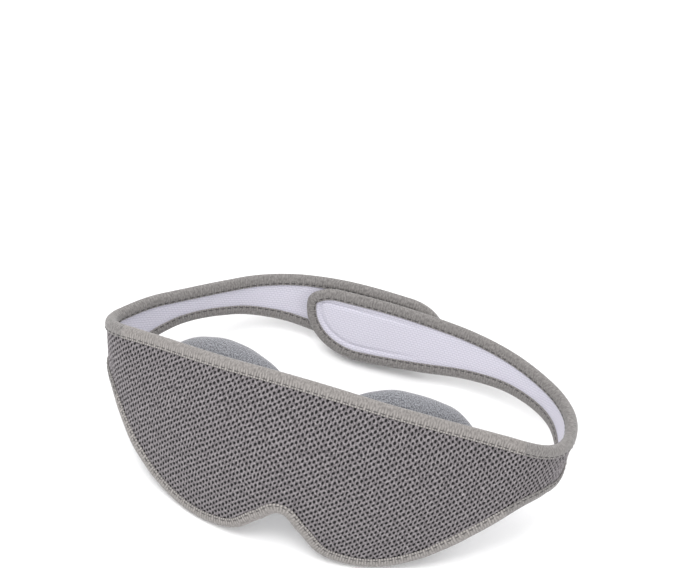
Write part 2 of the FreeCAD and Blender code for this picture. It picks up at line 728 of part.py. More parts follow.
# ---------------------------------------------------------------- checks and export
for item in doc.Objects:
    if "Invalid" in item.State or "Error" in item.State:
        raise RuntimeError("%s did not build: %s" % (item.Label, item.State))
for label, feature in features.items():
    if feature.Shape.isNull() or not feature.Shape.isValid() or not feature.Shape.Solids:
        raise RuntimeError("%s has no valid solid" % label)

os.makedirs(NODE_FOLDER, exist_ok=True)
for label, feature in features.items():
    feature.Shape.exportStep("%s/%s.step" % (NODE_FOLDER, label))
    print("%-22s %9.1f mm3" % (label, feature.Shape.Volume))
print("lean %.2f degrees, %d nodes" % (math.degrees(resting_lean()), len(features)))
for side_name, sign in CUP_SIDES.items():
    hinge = stand.multVec(surface(sign * HINGE_RUN, 0, 0))
    print("%s hinge at (%.3f, %.3f, %.3f)" % (side_name, hinge.x, hinge.y, hinge.z))
arc_centre = stand.multVec(Vector(0, size("front_radius"), 0))
up_axis = lean.multVec(Vector(0, 0, 1))
print("arc centre (%.3f, %.3f, %.3f)" % (arc_centre.x, arc_centre.y, arc_centre.z))
print("upright axis (%.5f, %.5f, %.5f)" % (up_axis.x, up_axis.y, up_axis.z))
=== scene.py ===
"""Sleep eye mask: fabric, cushions, stitching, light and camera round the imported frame.

The fabric is laid out as in the part's own design: u is the distance along the band from the middle
of the front (positive to the right), v the height and w the distance outwards, all in millimetres.
The surface that they describe is then leaned back and set down where the frame stands, in metres.
"""
import json
import math

import bpy
import numpy as np
from mathutils import Matrix, Vector


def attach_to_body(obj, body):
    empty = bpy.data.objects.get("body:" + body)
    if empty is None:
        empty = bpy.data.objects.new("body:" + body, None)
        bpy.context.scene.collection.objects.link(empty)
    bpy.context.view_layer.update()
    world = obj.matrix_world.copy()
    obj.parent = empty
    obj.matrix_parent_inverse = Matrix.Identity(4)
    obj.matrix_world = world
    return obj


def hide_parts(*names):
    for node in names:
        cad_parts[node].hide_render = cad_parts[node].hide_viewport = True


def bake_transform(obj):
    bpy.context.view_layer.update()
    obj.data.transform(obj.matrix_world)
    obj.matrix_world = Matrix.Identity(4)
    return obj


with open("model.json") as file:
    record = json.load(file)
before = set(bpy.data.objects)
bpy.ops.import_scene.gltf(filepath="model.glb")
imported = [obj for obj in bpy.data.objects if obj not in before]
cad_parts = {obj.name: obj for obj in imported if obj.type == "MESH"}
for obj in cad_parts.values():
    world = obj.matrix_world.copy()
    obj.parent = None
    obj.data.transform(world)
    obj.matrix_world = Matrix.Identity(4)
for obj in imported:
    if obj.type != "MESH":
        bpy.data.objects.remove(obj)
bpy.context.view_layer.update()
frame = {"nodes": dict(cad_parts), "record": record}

MM = 0.001

# ------------ sizes of the design, in mm
FRONT_RADIUS = 127.0
FRONT_ARC = 63.0
TEMPLE_FLAT = 21.4
TEMPLE_RADIUS = 46.0
TEMPLE_ARC = 11.0
CORNER = {"right": (29.5, 49.3), "left": (15.5, 72.4)}
SIDE = {"right": (37.5, 50.0), "left": (60.0, 19.5)}
REAR_RADIUS = {"right": 73.0, "left": 40.0}
RUN = {"right": 267.0, "left": 265.0}
SIGN = {"right": 1.0, "left": -1.0}
HINGE_RUN = 104.0
NECK_RUN = HINGE_RUN + 3.5
NOTCH = 54.9
LOBE = 70.2
TEMPLE_DROP = 8.9
TEMPLE_WIDTH = 21.8
WAIST_WIDTH = 15.9
PADDLE_WIDTH = 28.4
STRAP_RISE = 11.5
TIP_LENGTH = 13.5
TIP_ABOVE = {"right": 0.27, "left": 0.5}                  # share of a tip above its foremost point
TIP_UPPER = {"right": (12.5, 1.6), "left": (19.0, 2.0)}   # length and roundness of a tip's upper part
TIP_LOWER = {"right": (26.0, 2.0), "left": (13.5, 2.0)}
BULGE = 0.011
BULGE_MIDDLE = -29.8
BULGE_FADE = (63.0, 96.0)
FACE = 1.7
TAPE_INSIDE = FACE + 0.05
TAPE_OUTSIDE = TAPE_INSIDE + 0.7
TAPE_COVER = 5.0
MOVING_GAP = 0.3
LAP_SPACING = 2 * TAPE_OUTSIDE + MOVING_GAP
LONG_RUN = 400.0
CUP_RUN = 40.9
CUP_DROP = 33.2
CUP_BASE = -4.0
CUP_SIZE = (74.1, 65.4)
TUBE_WIDTH = 20.4
TUBE_DEPTH = 22.9
RING_HALF_U = (CUP_SIZE[0] - TUBE_WIDTH) / 2
RING_HALF_V = (CUP_SIZE[1] - TUBE_WIDTH) / 2
LINING_SEAM = 71.0
SPLIT_RUN = 88.0          # where the front's pieces end and each strap's pieces begin


# ------------ the band's surface
def arc_run(radius, turn):
    """A tangent run of the plan as its length and its turn in radians."""
    return (radius * math.radians(turn), math.radians(turn))


def follow(runs, distance):
    """Plan points and headings at distances along a chain of tangent runs."""
    x = np.zeros_like(distance)
    y = np.zeros_like(distance)
    turned = np.zeros_like(distance)
    start, heading = 0.0, 0.0
    for length, turn in runs:
        step = np.clip(distance - start, 0.0, length)
        curve = turn / length
        if abs(curve) < 1e-9:
            x += step * math.cos(heading)
            y += step * math.sin(heading)
        else:
            x += (np.sin(heading + curve * step) - math.sin(heading)) / curve
            y -= (np.cos(heading + curve * step) - math.cos(heading)) / curve
        turned += curve * step
        start += length
        heading += turn
    return x, y, turned


def side_runs(side):
    """The front, the temple corner and the side of one strap."""
    return [(FRONT_ARC, FRONT_ARC / FRONT_RADIUS), (TEMPLE_FLAT, 0.0),
            (TEMPLE_ARC, TEMPLE_ARC / TEMPLE_RADIUS), arc_run(*CORNER[side]), arc_run(*SIDE[side])]


def closed(runs, side):
    """The runs with the rear bend that brings the strap square to the front, and a straight lap."""
    turned = sum(turn for _, turn in runs)
    return runs + [arc_run(REAR_RADIUS[side], 180.0 - math.degrees(turned)), (LONG_RUN, 0.0)]


def lap_depth(plan):
    """How far back a closed plan's lap lies."""
    length = sum(run for run, _ in plan[:-1])
    return float(follow(plan, np.array([length]))[1][0])


def left_plan(depth):
    """The left plan, with a straight side run that brings its lap to a given depth."""
    runs = side_runs("left")
    turned = sum(turn for _, turn in runs)
    straight = (depth - lap_depth(closed(runs, "left"))) / math.sin(turned)
    return closed(runs + [(straight, 0.0)], "left")


PLAN = {"right": closed(side_runs("right"), "right")}
PLAN["left"] = left_plan(lap_depth(PLAN["right"]) + LAP_SPACING)

# The band's edges run smoothly through these few (distance, height) points, the same on both sides.
TOP_POINTS = [(0.0, 0.0), (41.0, -0.26 * TEMPLE_DROP), (NECK_RUN - 27.5, -0.71 * TEMPLE_DROP),
              (NECK_RUN, -TEMPLE_DROP), (NECK_RUN + 28.5, -2.0), (NECK_RUN + 72.5, 0.66 * STRAP_RISE),
              (NECK_RUN + 115.5, STRAP_RISE), (NECK_RUN + 162.5, 0.92 * STRAP_RISE)]
NECK_BOTTOM = TEMPLE_DROP + TEMPLE_WIDTH
NOTCH_RISE = LOBE - NOTCH
NECK_RISE = LOBE - NECK_BOTTOM
BOTTOM_POINTS = [(0.0, -NOTCH), (8.4, -NOTCH - 0.38 * NOTCH_RISE), (17.0, -NOTCH - 0.83 * NOTCH_RISE),
                 (29.0, -LOBE), (43.0, -LOBE + 1.3), (60.0, -LOBE + 8.4),
                 (NECK_RUN - 27.5, -NECK_BOTTOM - 0.40 * NECK_RISE),
                 (NECK_RUN - 12.7, -NECK_BOTTOM - 0.13 * NECK_RISE), (NECK_RUN, -NECK_BOTTOM)]
WIDTH_POINTS = [(NECK_RUN, TEMPLE_WIDTH), (NECK_RUN + 17.5, TEMPLE_WIDTH - 0.4),
                (NECK_RUN + 39.5, WAIST_WIDTH), (NECK_RUN + 61.5, WAIST_WIDTH + 0.5),
                (NECK_RUN + 83.5, 0.64 * WAIST_WIDTH + 0.36 * PADDLE_WIDTH),
                (NECK_RUN + 105.5, 0.24 * WAIST_WIDTH + 0.76 * PADDLE_WIDTH),
                (NECK_RUN + 126.5, PADDLE_WIDTH), (NECK_RUN + 162.5, PADDLE_WIDTH - 0.6)]


def ease(value, low, high):
    """Smooth step of a value, from 0 at low to 1 at high."""
    share = np.clip((value - low) / (high - low), 0.0, 1.0)
    return share * share * (3.0 - 2.0 * share)


def smooth(points, u):
    """Heights at u on a smooth curve through a few points (cubic pieces, level at the first one)."""
    at = np.array(points)
    run = np.diff(at[:, 0])
    rise = np.diff(at[:, 1]) / run
    inner = (rise[:-1] * run[1:] + rise[1:] * run[:-1]) / (run[:-1] + run[1:])
    slopes = np.concatenate([[0.0], inner, [rise[-1]]])
    u = np.clip(u, at[0, 0], at[-1, 0])
    k = np.clip(np.searchsorted(at[:, 0], u) - 1, 0, len(run) - 1)
    f = (u - at[k, 0]) / run[k]
    heights = (2 * f ** 3 - 3 * f ** 2 + 1) * at[k, 1] + (3 * f ** 2 - 2 * f ** 3) * at[k + 1, 1]
    leaving = (f ** 3 - 2 * f ** 2 + f) * run[k] * slopes[k]
    arriving = (f ** 3 - f ** 2) * run[k] * slopes[k + 1]
    return heights + leaving + arriving


def top_edge(u):
    return smooth(TOP_POINTS, np.abs(u))


def bottom_edge(u):
    u = np.abs(u)
    on_strap = smooth(TOP_POINTS, u) - smooth(WIDTH_POINTS, u)
    return np.where(u <= NECK_RUN, smooth(BOTTOM_POINTS, u), on_strap)


def inset_edge(edge, u, inset):
    """Height of an edge moved towards the middle of the band by inset, square to the edge."""
    slope = (edge(u + 0.05) - edge(u - 0.05)) / 0.1
    inwards = -1.0 if edge is top_edge else 1.0
    return edge(u) + inwards * inset * np.sqrt(1.0 + slope ** 2)


RIPPLE = 0.22
RIPPLE_FADE = (85.0, 110.0)
TUCK_IN = (68.0, 103.0)
TUCK_OUT = (108.0, 150.0)
TUCK_TOP = -6.0
TUCK_FALL = 26.0
TUCK_DEPTH = {"right": 2.6, "left": 5.6}
LAP_LIFT = 3.2
LAP_LIFT_RUN = (165.0, 222.0)


def ripple(u, v):
    """Slight unevenness of soft cloth over the front, in mm, which fades out before the straps."""
    waves = (0.5 * np.sin(u / 9.5 + 0.05 * v + 0.7) + 0.3 * np.sin(u / 5.3 - v / 11.0 + 2.0)
             + 0.4 * np.sin(v / 8.0 + u / 23.0 + 1.1))
    return RIPPLE * (1.0 - ease(np.abs(u), *RIPPLE_FADE)) * waves


def tuck(u, v):
    """How far the temples' lower edge turns in under the soft cloth's own weight, in mm."""
    run = np.abs(u)
    low = np.clip((TUCK_TOP - v) / TUCK_FALL, 0.0, 1.6)
    deep = np.where(u >= 0, TUCK_DEPTH["right"], TUCK_DEPTH["left"])
    return deep * low ** 1.3 * ease(run, *TUCK_IN) * (1.0 - ease(run, *TUCK_OUT))


def lap_lift(u):
    """How much higher the left strap lies where it laps over the right one, in mm."""
    return LAP_LIFT * ease(-u, *LAP_LIFT_RUN)


def surface(u, v, w):
    """Design points, as rows of x, y, z in mm, at distances u, heights v and offsets w outwards."""
    u, v, w = np.broadcast_arrays(*(np.asarray(a, float) for a in (u, v, w)))
    right = u >= 0
    xr, yr, hr = follow(PLAN["right"], np.abs(u))
    xl, yl, hl = follow(PLAN["left"], np.abs(u))
    x = np.where(right, xr, -xl)
    y = np.where(right, yr, yl)
    heading = np.where(right, hr, hl)
    bulge = BULGE * (1.0 - ease(np.abs(u), *BULGE_FADE))
    out = w - 0.5 * bulge * (v - BULGE_MIDDLE) ** 2 + ripple(u, v) - tuck(u, v)
    side = np.where(right, 1.0, -1.0)
    height = v + lap_lift(u)
    return np.stack([x + side * np.sin(heading) * out, y - np.cos(heading) * out, height], axis=-1)


def unit(vectors):
    return vectors / np.linalg.norm(vectors, axis=-1, keepdims=True)


def surface_frame(u, v):
    """Unit vectors at points of the band's middle: along u, up, and outwards."""
    along = unit(surface(u + 0.1, v, 0.0) - surface(u - 0.1, v, 0.0))
    up = unit(surface(u, v + 0.1, 0.0) - surface(u, v - 0.1, 0.0))
    return along, up, unit(np.cross(along, up))


# ------------ from the design to the frame
JOINTS = {joint["name"]: joint for joint in frame["record"]["behaviour"]["joints"]}
CUP_JOINT = JOINTS["left_cup_spacing"]
UPRIGHT = Vector(CUP_JOINT["axis"]).normalized()
LEAN = np.array([[1.0, 0.0, 0.0],
                 [0.0, UPRIGHT.z, UPRIGHT.y],
                 [0.0, -UPRIGHT.y, UPRIGHT.z]])
SHIFT = np.array(CUP_JOINT["pos_m"]) - LEAN @ np.array([0.0, FRONT_RADIUS * MM, 0.0])


def placed(points):
    """Design points in mm as points of the standing mask in metres."""
    return points @ LEAN.T * MM + SHIFT


def placed_at(u, v, w):
    return Vector(placed(surface(np.array([u]), np.array([v]), np.array([w])))[0])


# ------------ mesh building
def new_piece(name, points, faces, uv, material):
    """A smooth mesh object from placed points, faces and one uv (in mm) for each point."""
    mesh = bpy.data.meshes.new(name)
    faces = faces.tolist() if isinstance(faces, np.ndarray) else faces
    mesh.from_pydata(points.tolist(), [], faces)
    layer = mesh.uv_layers.new(name="fabric")
    loops = np.empty(len(mesh.loops), dtype=np.int32)
    mesh.loops.foreach_get("vertex_index", loops)
    layer.data.foreach_set("uv", np.asarray(uv, float)[loops].ravel())
    mesh.shade_smooth()
    mesh.materials.append(material)
    piece = bpy.data.objects.new(name, mesh)
    bpy.context.scene.collection.objects.link(piece)
    return piece


def round_turn(count):
    """Angles spaced evenly round one full turn."""
    return 2 * math.pi * np.arange(count) / count


def pairs(first, second):
    """Rows (a, b) for every a of one array with every b of another."""
    return np.stack(np.meshgrid(first, second, indexing="ij"), axis=-1).reshape(-1, 2)


def grid_faces(rows, columns, wrap_rows=False, wrap_columns=False):
    """Quads of a grid whose point (i, j) has number i * columns + j."""
    i = np.arange(rows if wrap_rows else rows - 1)
    j = np.arange(columns if wrap_columns else columns - 1)
    i, j = pairs(i, j).T
    i2 = (i + 1) % rows
    j2 = (j + 1) % columns
    corners = [i * columns + j, i2 * columns + j, i2 * columns + j2, i * columns + j2]
    return np.stack(corners, axis=1)


def capped_faces(rows, columns):
    """Faces of a tube of rings, with one face closing each end."""
    faces = grid_faces(rows, columns, wrap_columns=True).tolist()
    faces.append(list(range(columns)))
    faces.append([(rows - 1) * columns + j for j in reversed(range(columns))])
    return faces


def flat_area(points, faces):
    """Area of quads in the (u, v) plane, in square metres."""
    corners = points[faces]
    across = corners[:, 2] - corners[:, 0]
    other = corners[:, 3] - corners[:, 1]
    doubled = np.abs(across[:, 0] * other[:, 1] - across[:, 1] * other[:, 0])
    return float(doubled.sum() / 2) * MM * MM


def tip_part(side, upper):
    """Start, length, foremost height, height and roundness of a tip's upper or lower part."""
    at = np.array([RUN[side] - TIP_LENGTH])
    top = top_edge(at)[0]
    foremost = top - TIP_ABOVE[side] * (top - bottom_edge(at)[0])
    length, roundness = (TIP_UPPER if upper else TIP_LOWER)[side]
    start = RUN[side] - length
    edge = top_edge if upper else bottom_edge
    return start, length, foremost, abs(edge(np.array([start]))[0] - foremost), roundness


def edge_distance(u, v):
    """Distance from points of the band to its outline, positive inside it."""
    near = {True: top_edge(u) - v, False: v - bottom_edge(u)}
    for side, sign in SIGN.items():
        for upper in (True, False):
            start, length, foremost, height, roundness = tip_part(side, upper)
            ahead = np.clip((u * sign - start) / length, 0.0, None)
            away = (v - foremost if upper else foremost - v) / height
            inside = (ahead > 0.0) & (away >= 0.0)
            away = np.clip(away, 0.0, None)
            radius = np.maximum((ahead ** roundness + away ** roundness) ** (1.0 / roundness), 1e-6)
            slope = np.hypot((ahead / radius) ** (roundness - 1.0) / length,
                             (away / radius) ** (roundness - 1.0) / height)
            near[upper] = np.where(inside, (1.0 - radius) / np.maximum(slope, 1e-9), near[upper])
    return np.minimum(near[True], near[False])


def in_part(u, part):
    """Whether points lie in the front or in one strap's share of the band."""
    if part == "front":
        return np.abs(u) < SPLIT_RUN
    return u * SIGN[part] >= SPLIT_RUN


def uneven(g, h):
    """Grain coordinates with the small unevenness of knitted cloth."""
    slow_g = 0.11 * np.sin(g * 0.61 + 2.1 * np.sin(h * 0.23))
    quick_g = 0.08 * np.sin(h * 1.37 + 1.7 * np.sin(g * 0.41))
    slow_h = 0.10 * np.sin(h * 0.57 + 1.9 * np.sin(g * 0.31))
    quick_h = 0.08 * np.sin(g * 1.19 + 2.3 * np.sin(h * 0.37))
    return g + slow_g + quick_g, h + slow_h + quick_h


GRID_REACH = 290.0
GRID_BOTTOM = -84.0
GRID_TOP = 24.0
CLOTH_INSET = 3.5         # how far in from the band's outline the cloth ends, under the tape


def cloth(name, part, steps, grain, relief, material, keep):
    """A panel of cloth: the cells of one regular grid that lie inside the binding.

    relief(u, v, g, h) is the offset outwards, where g and h run along and across the grain.
    """
    turn = math.radians(grain)
    step_u, step_v = steps
    g = np.arange(-GRID_REACH // step_u, GRID_REACH // step_u) * step_u
    h = np.arange(GRID_BOTTOM // step_v, GRID_TOP // step_v) * step_v
    columns = len(h)
    g, h = pairs(g, h).T
    u = g * math.cos(turn) - h * math.sin(turn)
    v = g * math.sin(turn) + h * math.cos(turn)
    faces = grid_faces(len(g) // columns, columns)
    mid_u = u[faces].mean(axis=1)
    inside = (edge_distance(u, v) > CLOTH_INSET)[faces].all(axis=1) & in_part(mid_u, part)
    if keep is not None:
        inside &= keep(mid_u)
    faces = faces[inside]
    used, faces = np.unique(faces, return_inverse=True)
    faces = faces.reshape(-1, 4)
    if relief is not mesh_relief:
        faces = faces[:, ::-1]      # the linings face inwards
    u, v = u[used], v[used]
    g, h = uneven(g[used], h[used])
    points = placed(surface(u, v, relief(u, v, g, h)))
    piece = new_piece(name, points, faces, np.stack([g, h], axis=1), material)
    outline = np.stack([u, v], axis=1)
    spread = (outline.max(axis=0) - outline.min(axis=0)) * MM
    return piece, (float(spread[0]), float(spread[1])), flat_area(outline, faces)


# ------------ relief of each cloth
HOLE_PITCH = (2.75, 2.49)
HOLE_HALF = (0.55, 0.80)
HOLE_SLANT = math.radians(12.0)
HOLE_DEPTH = 0.5
HOLE_RIM = (0.55, 1.25)   # where a hole's wall begins and ends, as shares of its oval
GRAIN = -2.0
PATCH_LINE = 6.6          # distance from the right strap's outline to the closure's sewing
PATCH_REACH = 52.0        # how far back from the tip the sewing shows


def hole_radius(g, h):
    """Distance from the nearest hole of the spacer mesh: 1 on its oval edge."""
    nearest = np.full_like(g, 9.0)
    for shift in (0.0, 0.5):
        x = g / HOLE_PITCH[0] - shift
        y = h / HOLE_PITCH[1] - shift
        x = (x - np.round(x)) * HOLE_PITCH[0]
        y = (y - np.round(y)) * HOLE_PITCH[1]
        across = (x * math.cos(HOLE_SLANT) - y * math.sin(HOLE_SLANT)) / HOLE_HALF[0]
        along = (x * math.sin(HOLE_SLANT) + y * math.cos(HOLE_SLANT)) / HOLE_HALF[1]
        nearest = np.minimum(nearest, np.hypot(across, along))
    return nearest


def mesh_relief(u, v, g, h):
    return FACE - HOLE_DEPTH * (1.0 - ease(hole_radius(g, h), *HOLE_RIM))


def knit_relief(u, v, g, h):
    """Fine knit of the lining, with the closure's sewing pressed into the right strap's end."""
    wave = 0.05 * np.sin(2 * math.pi * g / 1.7) * np.sin(2 * math.pi * h / 1.3)
    line = np.abs(edge_distance(u, v) - PATCH_LINE)
    near_tip = np.clip((u - RUN["right"] + PATCH_REACH) / PATCH_REACH, 0.0, 1.0)
    pressed = near_tip ** 0.6 * np.exp(-(line / 0.7) ** 2)
    return -FACE - wave + 0.95 * pressed


def brushed_relief(u, v, g, h):
    return -FACE + 0.05 * np.sin(g * 1.9 + np.sin(h * 1.3)) * np.sin(h * 2.3 + np.sin(g * 1.7))


# ------------ binding tape and stitches
RIB_PITCH = 1.15
TAPE_STEP = RIB_PITCH / 5
SLIM = 0.2
SLIM_RUN = (84.0, 115.0)
STRAP_RIB_LOSS = 0.6
LEG = TAPE_COVER - TAPE_OUTSIDE
STITCH_DEPTH = LEG - 0.85
TAPE_FACE = 2.26          # the tape's outer face at its stitches
TAPE_HALF = [(LEG - 0.05, 1.72), (LEG + 0.07, 1.95), (LEG + 0.02, 2.20), (LEG - 0.20, 2.38),
             (LEG - 0.50, 2.40), (STITCH_DEPTH, TAPE_FACE), (STITCH_DEPTH - 0.35, 2.40),
             (STITCH_DEPTH - 0.85, 2.50), (0.3, 2.50)]
RIB_SINK = (0.05, 0.24)   # depth of the ribs at the fold, and added towards the sewn edges
STITCH_PULL = 0.10
ROUND_STEPS = 10
TAPE_GIRTH = 2 * (LEG + 0.5) + math.pi * TAPE_OUTSIDE


def run_lengths(path):
    """Distance along a path of points to each of them."""
    return np.concatenate([[0.0], np.cumsum(np.linalg.norm(np.diff(path, axis=0), axis=1))])


def tape_outline():
    """Closed outline of the folded tape, as (depth, offset outwards), and the lengths round it."""
    turns = [math.pi * k / ROUND_STEPS for k in range(ROUND_STEPS + 1)]
    outer = list(TAPE_HALF)
    outer += [(-TAPE_OUTSIDE * math.sin(a), TAPE_OUTSIDE * math.cos(a)) for a in turns]
    outer += [(depth, -offset) for depth, offset in reversed(TAPE_HALF)]
    inner = [(LEG - 0.1, -FACE), (0.0, -FACE)]
    inner += [(-FACE * math.sin(a), -FACE * math.cos(a)) for a in turns[1:-1]]
    inner += [(0.0, FACE), (LEG - 0.1, FACE)]
    outline = np.array(outer + inner)
    return outline, run_lengths(outline)


def leg_share(u):
    """How wide the tape's legs are at distances along the band, as a share of the front's."""
    return 1.0 - SLIM * ease(np.abs(u), *SLIM_RUN)


def tip_path(side, depth):
    """Points (u, v) round the tip of one strap, from its top to its bottom."""
    inset = TAPE_OUTSIDE + depth * (1.0 - SLIM)
    rows = []
    for upper, angles in ((True, np.linspace(88.0, 0.0, 60)), (False, np.linspace(-1.5, -88.0, 60))):
        start, length, foremost, height, roundness = tip_part(side, upper)
        turn = np.radians(angles)
        u = start + (length - inset) * np.cos(turn) ** (2.0 / roundness)
        v = foremost + (height - inset) * np.sign(turn) * np.abs(np.sin(turn)) ** (2.0 / roundness)
        rows.append(np.stack([u * SIGN[side], v], axis=1))
    return np.concatenate(rows)


def straight_path(edge, first, last, depth, sign=1.0):
    """Points (u, v) along the top or bottom edge between two distances."""
    u = np.linspace(first, last, 700)
    return np.stack([sign * u, inset_edge(edge, u, TAPE_OUTSIDE + depth * leg_share(u))], axis=1)


def edge_path(part, depth):
    """Points (u, v) a depth into the tape's legs, with the cloth on the right as they run."""
    if part == "top":
        return straight_path(top_edge, -SPLIT_RUN, SPLIT_RUN, depth)
    if part == "bottom":
        return straight_path(bottom_edge, -SPLIT_RUN, SPLIT_RUN, depth)[::-1]
    sign = SIGN[part]
    path = np.concatenate([
        straight_path(top_edge, SPLIT_RUN, tip_part(part, True)[0], depth, sign),
        tip_path(part, depth),
        straight_path(bottom_edge, tip_part(part, False)[0], SPLIT_RUN, depth, sign)])
    return path if part == "right" else path[::-1]


def evenly(path, spacing):
    """Points spacing apart along a finely drawn path, and their distances along it."""
    lengths = run_lengths(path)
    count = int(round(lengths[-1] / spacing))
    at = np.linspace(0.0, lengths[-1], count + 1)
    return np.stack([np.interp(at, lengths, path[:, k]) for k in (0, 1)], axis=1), at


def path_frames(path):
    """Middle points, inward directions, outward normals and running directions along a path."""
    run = np.gradient(path, axis=0)
    along, up, out = surface_frame(path[:, 0], path[:, 1])
    ahead = unit(along * run[:, :1] + up * run[:, 1:])
    inward = unit(np.cross(ahead, out))
    return surface(path[:, 0], path[:, 1], 0.0), inward, out, ahead


def tape(name, part, material):
    """Folded binding tape with its fine cross ribs; gives the piece and its length in metres."""
    path, at = evenly(edge_path(part, 0.0), TAPE_STEP)
    middle, inward, out, _ = path_frames(path)
    outline, lengths = tape_outline()
    rib = 0.5 + 0.5 * np.cos(2 * math.pi * at / RIB_PITCH)
    flatter = 1.0 - (1.0 - leg_share(path[:, 0])) / SLIM * STRAP_RIB_LOSS
    pull = 0.5 + 0.5 * np.cos(2 * math.pi * at / STITCH_PITCH)
    near_edge = np.clip((outline[:, 0] - 0.2) / LEG, 0.0, 1.0)
    outside = np.arange(len(outline)) < 2 * len(TAPE_HALF) + ROUND_STEPS + 1
    sink = outside * (RIB_SINK[0] + RIB_SINK[1] * near_edge)
    groove = outside * STITCH_PULL * np.exp(-((outline[:, 0] - STITCH_DEPTH) / 0.5) ** 2)
    shrink = 1.0 - (np.outer((1.0 - rib) * flatter, sink) + np.outer(pull, groove)) / TAPE_OUTSIDE
    deep = np.where(outline[None, :, 0] > 0.0, leg_share(path[:, :1]), 1.0) * outline[None, :, 0]
    offset = outline[None, :, 1] * shrink
    points = middle[:, None] + inward[:, None] * deep[..., None] + out[:, None] * offset[..., None]
    uv = pairs(at, lengths - TAPE_GIRTH / 2)
    faces = capped_faces(len(path), len(outline))
    piece = new_piece(name, placed(points.reshape(-1, 3)), faces, uv, material)
    return piece, float(at[-1]) * MM


STITCH_PITCH = 3.0
STITCH_LENGTH = 2.2
THREAD_RADIUS = 0.20
STITCH_CROWN = 0.10
STITCH_DIP = 0.38
STITCH_RINGS = 6
THREAD_SIDES = 6


def stitches(name, parts, material):
    """Rows of thread dashes on both faces of the binding, each one dipping into the tape."""
    points, faces, uv = [], [], []
    share = np.linspace(-1.0, 1.0, STITCH_RINGS)
    around = round_turn(THREAD_SIDES)
    cell = grid_faces(STITCH_RINGS, THREAD_SIDES, wrap_columns=True)
    one_uv = pairs(share, around)
    size = STITCH_RINGS * THREAD_SIDES
    for part in parts:
        path, _ = evenly(edge_path(part, STITCH_DEPTH), STITCH_PITCH)
        path = (path[1:] + path[:-1]) / 2
        middle, inward, out, ahead = path_frames(path)
        for face in (1.0, -1.0):
            lift = TAPE_FACE + STITCH_CROWN - STITCH_DIP * share ** 4
            radius = THREAD_RADIUS * np.sqrt(1.0 - 0.7 * share ** 4)
            line = (middle[:, None] + ahead[:, None] * (share * STITCH_LENGTH / 2)[None, :, None]
                    + out[:, None] * (face * lift)[None, :, None])
            ring = (inward[:, None, None] * np.cos(around)[:, None]
                    + out[:, None, None] * np.sin(around)[:, None])
            tube = line[:, :, None] + ring * radius[None, :, None, None]
            base = sum(len(block) for block in points)
            count = len(path)
            points.append(tube.reshape(-1, 3))
            uv.append(np.tile(one_uv, (count, 1)))
            starts = base + size * np.arange(count)
            faces += (cell[None] + starts[:, None, None]).reshape(-1, 4).tolist()
            for start in starts.tolist():
                faces.append([start + j for j in range(THREAD_SIDES)])
                faces.append([start + size - THREAD_SIDES + j for j in reversed(range(THREAD_SIDES))])
    return new_piece(name, placed(np.concatenate(points)), faces, np.concatenate(uv), material)


# ------------ eye cups
SIM_UNIT = 100.0          # millimetres of cushion to one metre of the simulation
SWELL_FRAMES = 20
SWELL_PRESSURE = 4.0
SWELL_CAP = 1.3
SWELL_ROOM = 1.1          # how much slimmer the ring is before it swells
SWELL_HELD = (0.86, 1.0)  # the base's least cosine and the seams' half width, which stay in place
CUSHION_LIFT = 1.2
CUSHION_CROWN = 3.6
SHOULDER = 2.8
SHOULDER_TURN = 0.95
LEAN_IN = 1.6             # how far the ring's face draws in towards the eye opening
BASE_GAP = 0.25
RING_STEPS = 240
SECTION_STEPS = 72


def cup_frames(side, angle):
    """Points of the cushion's middle line at the lining, radial directions and outward normals."""
    u = SIGN[side] * CUP_RUN + RING_HALF_U * np.cos(angle)
    v = -CUP_DROP + CUSHION_LIFT + RING_HALF_V * np.sin(angle)
    along, up, out = surface_frame(u, v)
    square_u = (RING_HALF_V * np.cos(angle))[:, None]
    square_v = (RING_HALF_U * np.sin(angle))[:, None]
    return surface(u, v, 0.0), unit(along * square_u + up * square_v), out


def swollen(points, held):
    """How far air pressure moves each point of a coarse ring of cloth, in mm, capped and evened out.

    points is a grid in mm, rows round the ring and columns round its tube. The ring is simulated at
    ten times its size, where the solver's pressure and the cloth's mass suit each other.
    """
    rows, columns = points.shape[:2]
    start = points.reshape(-1, 3) / SIM_UNIT
    start = start - start.mean(axis=0)
    mesh = bpy.data.meshes.new("swelling")
    faces = grid_faces(rows, columns, wrap_rows=True, wrap_columns=True)[:, ::-1]
    mesh.from_pydata(start.tolist(), [], faces.tolist())
    piece = bpy.data.objects.new("swelling", mesh)
    bpy.context.scene.collection.objects.link(piece)
    piece.vertex_groups.new(name="held").add(np.flatnonzero(held).tolist(), 1.0, "REPLACE")
    modifier = piece.modifiers.new("cloth", "CLOTH")
    modifier.point_cache.frame_start = 1
    modifier.point_cache.frame_end = SWELL_FRAMES
    cloth_settings = modifier.settings
    cloth_settings.use_pressure = True
    cloth_settings.uniform_pressure_force = SWELL_PRESSURE
    cloth_settings.effector_weights.gravity = 0.0
    cloth_settings.vertex_group_mass = "held"
    for step in range(1, SWELL_FRAMES + 1):
        bpy.context.scene.frame_set(step)
    result = piece.evaluated_get(bpy.context.evaluated_depsgraph_get()).to_mesh()
    moved = np.empty(len(result.vertices) * 3)
    result.vertices.foreach_get("co", moved)
    bpy.data.objects.remove(piece)
    bpy.context.scene.frame_set(1)
    offset = (moved.reshape(-1, 3) - start) * SIM_UNIT
    length = np.linalg.norm(offset, axis=1, keepdims=True)
    capped = np.minimum(1.0, SWELL_CAP / np.maximum(length, 1e-9))
    offset = (offset * capped).reshape(rows, columns, 3)
    for axis in (0, 1):
        offset = 0.5 * offset + 0.25 * (np.roll(offset, 1, axis) + np.roll(offset, -1, axis))
    return offset


